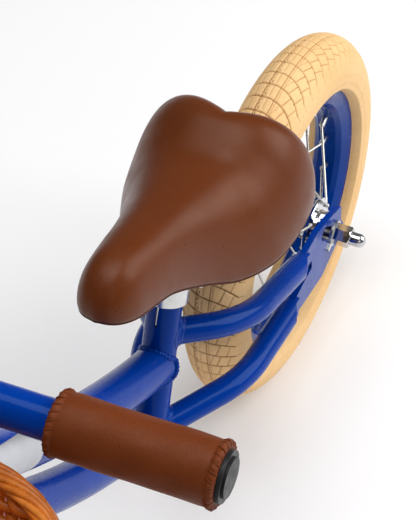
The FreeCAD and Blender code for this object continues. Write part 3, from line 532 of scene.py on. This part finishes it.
def saddle_rings():
    """Rings of points from the crown out to the lip, then under it and up inside."""
    outline = saddle_outline()
    ox, oy = outline[:, 0], outline[:, 1]
    spine_x = np.clip(ox, *SPINE_ENDS)
    lip_at, top_at, roof_at = profile(SADDLE_LIP), profile(SADDLE_TOP), profile(SADDLE_ROOF)
    lip = lip_at(ox) + EDGE_ROLL
    rings = []
    for rho in np.sin(np.linspace(0, math.pi / 2, 34)):
        x = spine_x + (ox - spine_x) * rho
        y = oy * rho
        top = top_at(x)
        back = np.clip((128.0 - x) / 30.0, 0, 1)
        dome = np.clip(1 - rho ** (2.6 + 0.3 * back), 0, 1) ** (1 / (2.1 + 0.15 * back))
        tail = np.clip((125.0 - x) / 32.0, 0, 1) ** 1.2
        dip = 2.4 * np.exp(-(y / 15.0) ** 2) * tail
        rings.append(np.stack((x, y, lip + (top - lip - dip) * dome), axis=1))
    inward = np.stack((spine_x - ox, -oy), axis=1)
    inward /= np.linalg.norm(inward, axis=1)[:, None]
    under = ((0.25, -2.0), (1.3, -3.7), (3.0, -4.4), (4.7, -3.6), (5.9, -1.6), (6.6, 2.0))
    for shift, drop in under:
        xy = outline + inward * shift
        rings.append(np.stack((xy[:, 0], xy[:, 1], lip + drop), axis=1))
    for shift, part in ((7.0, 0.5), (7.1, 0.9), (9.0, 1.0)):
        xy = outline + inward * shift
        rise = (roof_at(xy[:, 0]) - lip) * part
        rings.append(np.stack((xy[:, 0], xy[:, 1], lip + rise), axis=1))
    inner = outline + inward * 9.0
    for rho in (0.6, 0.3, 0.0):
        x = spine_x + (inner[:, 0] - spine_x) * rho
        rings.append(np.stack((x, inner[:, 1] * rho, roof_at(x)), axis=1))
    welt = outline + inward * 1.2
    return np.array(rings), np.stack((welt[:, 0], welt[:, 1], lip - 3.9), axis=1)


def build_saddle():
    """Crowned cover whose edge rolls under and whose hollow shows the pan."""
    rings, welt = saddle_rings()
    rows, n, _ = rings.shape
    verts = (rings + REAR).reshape(-1, 3)
    faces = grid_faces(rows, n, False, True)[:, ::-1].tolist()
    obj = add_piece("saddle_padded_cover", verts, faces, SADDLE, "saddle",
                    ("saddle_cover",))
    mesh = bmesh.new()
    mesh.from_mesh(obj.data)
    bmesh.ops.remove_doubles(mesh, verts=mesh.verts, dist=0.00002)
    bmesh.ops.recalc_face_normals(mesh, faces=mesh.faces)
    mesh.to_mesh(obj.data)
    mesh.free()
    obj.data.shade_smooth()
    verts, faces = tube(welt + REAR, 0.7, 6, True)
    add_piece("saddle_edge_welt", verts, faces, THREAD, "saddle")


# ---- grips ----------------------------------------------------------------------------
GRIP_STITCHES = 24
GRIP_SIDES = 144
SEAM_ANGLE = math.pi * 1.5
# Rows of the sleeve from its end inwards: (distance from the end, radius).
HEM_ROWS = (
    (0.4, 11.2), (-0.1, 12.5), (-0.2, 15.0), (0.3, 16.9), (1.2, 17.6), (2.4, 17.65), (3.3, 17.3),
    (4.0, 16.85), (4.6, 16.7), (5.6, 16.85))
# A stitch over the hem: (distance from the end, radius, turn in half stitch gaps).
STITCH = (
    (4.5, 16.5, 0.5), (3.8, 16.95, 0.4), (2.9, 17.35, 0.2), (1.9, 17.55, 0.0),
    (0.9, 17.40, -0.15), (0.1, 16.7, -0.3), (-0.1, 15.4, -0.3), (0.0, 14.2, -0.3))


def build_grip(name, side):
    """Leather sleeve with a seam underneath, and its two whip-stitched hems."""
    start = bar_point(side * GRIP_INNER_END)
    axis = np.array((-math.sin(SWEEP), side * math.cos(SWEEP), 0.0))
    up = np.array((0.0, 0.0, 1.0))
    out = np.cross(axis, up)
    body = [(d, 16.9 + 0.1 * math.sin(d / 9.0)) for d in np.arange(8.0, 80.5, 1.6)]
    rows = [*HEM_ROWS, *body, *((GRIP_LENGTH - d, r) for d, r in HEM_ROWS[::-1])]
    a = np.linspace(0, 2 * math.pi, GRIP_SIDES, endpoint=False)
    verts = []
    for d, r in rows:
        edge = min(d, GRIP_LENGTH - d)
        hem = math.exp(-((edge - 1.9) / 1.7) ** 2)
        lumps = (0.34 * np.cos(GRIP_STITCHES * a + 0.5) + 0.22 * np.cos(9 * a + edge)
                 + 0.16 * np.sin(14 * a))
        uneven = 0.12 * np.sin(3 * a + d * 0.11) + 0.08 * np.sin(7 * a - d * 0.23)
        seam = -0.45 * np.exp(-((a - SEAM_ANGLE) / 0.035) ** 2) if 6.0 < d < 82.0 else 0.0
        radius = r + (hem * lumps + uneven + seam if r > 12.6 else 0.0)
        across, height = (np.cos(a) * radius)[:, None] * out, (np.sin(a) * radius)[:, None] * up
        verts.append(start + axis * d + across + height)
    verts = np.array(verts).reshape(-1, 3)
    faces = grid_faces(len(rows), GRIP_SIDES, True, True)
    add_piece(name + "_sewn", verts, faces, GRIP, "handlebar_assembly", (name,))

    parts = []
    stitch_gap = 2 * math.pi / GRIP_STITCHES
    for end, sign in ((0.0, 1), (GRIP_LENGTH, -1)):
        for k in range(GRIP_STITCHES):
            phi = (k + 0.5) * stitch_gap
            loop = []
            for d, r, swing in STITCH:
                b = phi + swing * stitch_gap * 0.5
                around = out * math.cos(b) * r + up * math.sin(b) * r
                loop.append(start + axis * (end + sign * d) + around)
            parts.append(tube(loop, 0.34 + 0.12 * RNG.random(), 6))
    verts, faces = merge(parts)
    add_piece(name + "_stitches", verts, faces, GRIP, "handlebar_assembly")


# ---- basket ---------------------------------------------------------------------------
BASE_HALF_X, BASE_HALF_Y = 61.0, 97.0
FLARE_X, FLARE_Y = 11.5, 16.5
STAKES, STEPS_PER_STAKE = 56, 6
WEAVE_ROWS = 17
FLOOR_Z = BASKET_BASE + 3.2
FLOOR_STRANDS, FLOOR_RIBS = 26, 17
RIM_TURNS, RIM_STRANDS = 6, 8


def basket_point(s, level):
    """Point at s (0..1 round the basket) and level (0 base, 1 rim): a rounded oblong."""
    a = 2 * math.pi * s
    half_x, half_y = BASE_HALF_X + FLARE_X * level, BASE_HALF_Y + FLARE_Y * level
    c, d = math.cos(a), math.sin(a)
    x = half_x * math.copysign(abs(c) ** (2 / 3), c)
    y = half_y * math.copysign(abs(d) ** (2 / 3), d)
    return np.array((BASKET_X + x, y, BASKET_BASE + 4 + (BASKET_TOP - BASKET_BASE - 10) * level))


def even_stations(count, level=0.6):
    """Parameters s that are evenly spaced along the basket's outline."""
    s = np.linspace(0, 1, 2001)
    p = np.array([basket_point(t, level) for t in s])
    length = np.concatenate(([0], np.cumsum(np.linalg.norm(np.diff(p, axis=0), axis=1))))
    return np.interp(np.linspace(0, length[-1], count, endpoint=False), length, s)


def basket_ring(stations, level, offsets):
    """Points round the basket, moved in or out by the offsets."""
    base = np.array([basket_point(s, level) for s in stations])
    tangent = np.roll(base, -1, axis=0) - np.roll(base, 1, axis=0)
    outward = np.stack((tangent[:, 1], -tangent[:, 0], np.zeros(len(base))), axis=1)
    outward /= np.linalg.norm(outward, axis=1)[:, None]
    return base + outward * np.asarray(offsets)[:, None]


class Strands:
    """A bundle of strands that becomes one piece, each strand with a random tint."""

    def __init__(self):
        self.parts, self.tints = [], []

    def put(self, piece):
        self.parts.append(piece)
        self.tints.append(np.full(len(piece[0]), RNG.random()))

    def add(self, name, node):
        verts, faces = merge(self.parts)
        obj = add_piece(name, verts, faces, WICKER, "handlebar_assembly", (node,))
        paint_attribute(obj, "strand", np.concatenate(self.tints))


def build_basket_body():
    """Stakes with strands woven in and out of them, and a woven floor."""
    strands = Strands()
    stations = even_stations(STAKES * STEPS_PER_STAKE)
    phase = np.arange(len(stations)) * math.pi / STEPS_PER_STAKE
    for k in range(WEAVE_ROWS):
        level = (k + 0.4) / WEAVE_ROWS * 0.96
        ring = basket_ring(stations, level, 2.1 * np.cos(phase + math.pi * (k % 2)) - 2.2)
        ring[:, 2] += 0.35 * np.sin(np.arange(len(ring)) * 0.37 + k)
        strands.put(tube(ring, 2.75 + 0.15 * RNG.random(), 8, True))
    for s in stations[::STEPS_PER_STAKE]:
        line = []
        for level in np.linspace(-0.02, 0.985, 12):
            p = basket_point(s, level)
            inward = np.array((BASKET_X, 0, p[2])) - p
            line.append(p + inward / np.linalg.norm(inward) * 2.2)
        strands.put(tube(line, 1.6, 6))
    for i in range(FLOOR_STRANDS):
        y = -90 + 180 * (i + 0.5) / FLOOR_STRANDS
        reach = 57 * (1 - abs(y / 95.0) ** 3) ** (1 / 3)
        xs = np.linspace(-reach, reach, 25)
        wave = 1.3 * np.cos(xs / 7.0 * math.pi + math.pi * (i % 2))
        strands.put(tube([(BASKET_X + x, y, FLOOR_Z + w) for x, w in zip(xs, wave)], 2.6, 6))
    for i in range(FLOOR_RIBS):
        x = -54 + 108 * (i + 0.5) / FLOOR_RIBS
        reach = 93 * (1 - abs(x / 58.0) ** 3) ** (1 / 3)
        strands.put(tube([(BASKET_X + x, y, FLOOR_Z) for y in np.linspace(-reach, reach, 25)], 1.4, 6))
    strands.add("basket_woven_body", "basket_bowl")


def build_basket_rim():
    """A rope of twisted cane round the top, and a hoop round the rim and the base."""
    strands = Strands()
    stations = even_stations(420, 1.0)
    step = np.arange(len(stations))
    for k in range(RIM_STRANDS):
        a = 2 * math.pi * (RIM_TURNS * step / len(stations) + k / RIM_STRANDS)
        spread = 1 + 0.08 * np.sin(step * 0.11 + 2.4 * k)
        ring = basket_ring(stations, 1.0, 4.1 * spread * np.cos(a) - 1.0)
        ring[:, 2] += 2.2 + 4.0 * spread * np.sin(a)
        strands.put(tube(ring, 1.75 + 0.25 * RNG.random(), 8, True))
    for level, offset, lift in ((0.0, 0.8, -2.5), (1.0, 3.8, -1.8)):
        ring = basket_ring(stations, level, np.full(len(stations), offset))
        ring[:, 2] += lift
        strands.put(tube(ring, 3.0, 8, True))
    strands.add("basket_plaited_rim", "basket_rim")


def strap_path(y, grow):
    """Loop round the bar and under the basket's rim, in the plane of constant y."""
    bar, low = bar_point(y), np.array((BASKET_X - 68.0, y, BASKET_TOP - 18.0))
    gap = low - bar
    r_bar, r_low = 11.2 + grow, 9.5 + grow
    turn = math.asin((r_low - r_bar) / np.linalg.norm(gap))
    base = math.atan2(gap[2], gap[0])
    first, second = base + math.pi / 2 + turn, base - math.pi / 2 - turn
    points = []
    for centre, r, a0, a1 in ((bar, r_bar, first, second + 2 * math.pi), (low, r_low, second, first)):
        for a in np.linspace(a0, a1, 26):
            points.append(centre + np.array((math.cos(a), 0, math.sin(a))) * r)
    return np.array(points)


# The strap's section (across, outwards), with a shallow channel along each row of stitches.
SEAM_OFFSET = 5.8
STRAP_SECTION = (
    (-7.7, -0.9), (-7.9, 0), (-7.5, 0.8), (-6.5, 1.05), (-SEAM_OFFSET, 0.85), (-5.1, 1.05), (0, 1.1),
    (5.1, 1.05), (SEAM_OFFSET, 0.85), (6.5, 1.05), (7.5, 0.8), (7.9, 0), (7.7, -0.9), (6.7, -1.05),
    (0, -1.05), (-6.7, -1.05))


def build_straps():
    """Two leather straps that hang the basket on the bar, sewn along both edges."""
    parts, threads = [], []
    for y in (STRAP_Y, -STRAP_Y):
        path, _ = resample(strap_path(y, 1.1), count=120)
        tangent = np.roll(path, -1, axis=0) - np.roll(path, 1, axis=0)
        tangent /= np.linalg.norm(tangent, axis=1)[:, None]
        normal = np.cross(tangent, np.array((0.0, 1.0, 0.0)))
        rows = [path + np.array((0.0, w, 0.0)) - normal * t for w, t in STRAP_SECTION]
        verts = np.array(rows).transpose(1, 0, 2).reshape(-1, 3)
        parts.append((verts, grid_faces(len(path), len(STRAP_SECTION), True, True)))
        for edge in (-SEAM_OFFSET, SEAM_OFFSET):
            for i in range(0, len(path), 2):
                j = (i + 1) % len(path)
                a, b = path[i] * 0.7 + path[j] * 0.3, path[i] * -0.3 + path[j] * 1.3
                lift, shift = -normal[i] * 1.05, np.array((0.0, edge, 0.0))
                stitch = [a + lift * 0.6, (a + b) / 2 + lift * 1.3, b + lift * 0.6]
                threads.append(tube([p + shift for p in stitch], 0.32, 5))
    verts, faces = merge(parts)
    add_piece("basket_straps_sewn", verts, faces, STRAP, "handlebar_assembly",
              ("basket_straps",))
    verts, faces = merge(threads)
    add_piece("basket_strap_stitches", verts, faces, THREAD, "handlebar_assembly")


# ---- weld beads -----------------------------------------------------------------------
def circle_ends(a, b, c):
    """Unit tangents at both ends of the arc a, b, c, pointing along the arc."""
    ab, ac = b - a, c - a
    n = np.cross(ab, ac)
    centre = a + (np.cross(n, ab) * np.dot(ac, ac) + np.cross(ac, n) * np.dot(ab, ab)) / (2 * np.dot(n, n))
    n /= np.linalg.norm(n)
    t0, t1 = np.cross(n, a - centre), np.cross(n, c - centre)
    return t0 / np.linalg.norm(t0), t1 / np.linalg.norm(t1)


def saddle_line(origin, heading, r, main, main_dir, big_r, count=72):
    """Where a round branch meets a round main tube."""
    heading = heading / np.linalg.norm(heading)
    e1 = np.cross(heading, (0.0, 1.0, 0.0))
    e1 /= np.linalg.norm(e1)
    e2 = np.cross(heading, e1)
    out = []
    for phi in np.linspace(0, 2 * math.pi, count, endpoint=False):
        p = origin + (e1 * math.cos(phi) + e2 * math.sin(phi)) * r
        q = p - main - main_dir * np.dot(p - main, main_dir)
        h = heading - main_dir * np.dot(heading, main_dir)
        a, b, c = np.dot(h, h), 2 * np.dot(q, h), np.dot(q, q) - big_r ** 2
        disc = max(b * b - 4 * a * c, 0.0)
        out.append(p + heading * (-b + math.sqrt(disc)) / (2 * a))
    return np.array(out)


def fillet(origin, heading, r, main, main_dir, big_r, width, steps=8):
    """Concave blend between a round branch and the round main tube it meets."""
    line = saddle_line(origin, heading, r, main, main_dir, big_r)
    heading = heading / np.linalg.norm(heading)
    axis_point = origin + heading * ((line - origin) @ heading)[:, None]
    radial = line - axis_point
    radial /= np.linalg.norm(radial, axis=1)[:, None]
    out = line - main - np.outer((line - main) @ main_dir, main_dir)
    out /= np.linalg.norm(out, axis=1)[:, None]
    along = radial - out * np.sum(radial * out, axis=1)[:, None]
    along /= np.maximum(np.linalg.norm(along, axis=1), 0.2)[:, None]
    on_branch = line + heading * width + radial * 0.08
    on_main = line + along * width * 0.8
    shift = on_main - main - np.outer((on_main - main) @ main_dir, main_dir)
    length = np.linalg.norm(shift, axis=1)[:, None]
    on_main += shift / length * (big_r + 0.08 - length)
    rows = []
    for t in np.linspace(0, 1, steps):
        rows.append(on_branch * (1 - t) ** 2 + (line + radial * 0.1) * 2 * t * (1 - t) + on_main * t ** 2)
    rows.append(line - heading * 1.5 - radial * 1.5)
    verts = np.array(rows).reshape(-1, 3)
    return verts, grid_faces(len(rows), len(line), True, True).tolist()


def build_welds():
    """Smooth fillets at the stays, and rippled beads at the top and down tubes' ends."""
    seat = seat_point(200.0)
    parts = []
    for side in (1, -1):
        for start, corner in (((212, 1, 68), (163, 42, 51.5)), ((234, 5.5, -8), (163, 42, -9.5))):
            a, b = (REAR + np.array(p) * (1, side, 1) for p in (start, corner))
            parts.append(fillet(a, b - a, STAY_R, seat, SEAT_UP, SEAT_TUBE_R, 4.5))
    top = (seat_point(195), REAR + (350, 0, 113), steer_point(236))
    down = (seat_point(138), REAR + (371, 0, 72), steer_point(203))
    for ends, r in ((top, TOP_TUBE_R), (down, DOWN_TUBE_R)):
        t0, t1 = circle_ends(*ends)
        at_seat = saddle_line(ends[0], t0, r, seat, SEAT_UP, SEAT_TUBE_R + 0.1)
        at_head = saddle_line(ends[2], -t1, r, steer_point(200), STEER_UP, HEAD_TUBE_R + 0.1)
        for loop, radius in ((at_seat, 1.9), (at_head, 1.8)):
            line, at = resample(loop, step=0.7)
            ripple = 1 + 0.14 * np.sin(at * 2 * math.pi / 2.6) + 0.05 * np.sin(at * 1.7)
            parts.append(tube(line, radius * ripple, 10, True))
    verts, faces = merge(parts)
    add_piece("frame_weld_beads", verts, faces, PAINT, "frame")


# ---- stage ----------------------------------------------------------------------------
def build_stage():
    """Pale floor, white surroundings and three soft lights."""
    mesh = bpy.data.meshes.new("studio_floor")
    reach = 6.0
    corners = [(-reach, -reach, 0), (reach, -reach, 0), (reach, reach, 0), (-reach, reach, 0)]
    mesh.from_pydata(corners, [], [(0, 1, 2, 3)])
    floor = bpy.data.objects.new("studio_floor", mesh)
    bpy.context.scene.collection.objects.link(floor)
    s = Shader("studio_floor_paper", (0.90, 0.90, 0.91), 0.85, spec=0.1)
    s.colour(s.mix(s.noise(3.0), (0.895, 0.895, 0.905), (0.905, 0.905, 0.915)))
    s.bsdf.inputs["Emission Color"].default_value = (1.0, 1.0, 1.0, 1)
    s.bsdf.inputs["Emission Strength"].default_value = 0.05
    mesh.materials.append(s.mat)

    world = bpy.data.worlds.new("studio")
    bpy.context.scene.world = world
    world.use_nodes = True
    background = world.node_tree.nodes["Background"]
    background.inputs["Color"].default_value = (1.0, 1.0, 1.0, 1)
    background.inputs["Strength"].default_value = 0.17

    lights = (("key_softbox", (-1.5, 2.0, 1.9), (-0.15, 0.0, 0.25), 2.4, 78.0),
              ("top_softbox", (0.1, -0.2, 2.9), (-0.1, 0.0, 0.25), 1.9, 46.0),
              ("front_fill", (1.9, 1.2, 1.6), (0.1, 0.0, 0.3), 1.6, 6.0))
    for name, place, aim, size, power in lights:
        data = bpy.data.lights.new(name, "AREA")
        data.shape, data.size, data.energy = "SQUARE", size, power
        lamp = bpy.data.objects.new(name, data)
        lamp.location = place
        lamp.rotation_euler = (Vector(aim) - Vector(place)).to_track_quat("-Z", "Y").to_euler()
        bpy.context.scene.collection.objects.link(lamp)


def build_camera():
    """Long lens, looking down on the saddle from ahead of the left grip."""
    data = bpy.data.cameras.new("photo_camera")
    data.sensor_width, data.lens = 36.0, 124.6
    data.shift_y = -0.0146
    camera = bpy.data.objects.new("photo_camera", data)
    camera.location = (0.6854, 0.3975, 1.1304)
    camera.rotation_euler = Vector((-0.6483, -0.3075, -0.6966)).to_track_quat("-Z", "Y").to_euler()
    bpy.context.scene.collection.objects.link(camera)
    bpy.context.scene.camera = camera
    bpy.context.scene.view_settings.view_transform = "Standard"


finish_cad_nodes()
build_tyres()
build_saddle()
build_grip("left_grip", 1)
build_grip("right_grip", -1)
build_basket_body()
build_basket_rim()
build_straps()
build_welds()
build_stage()
build_camera()
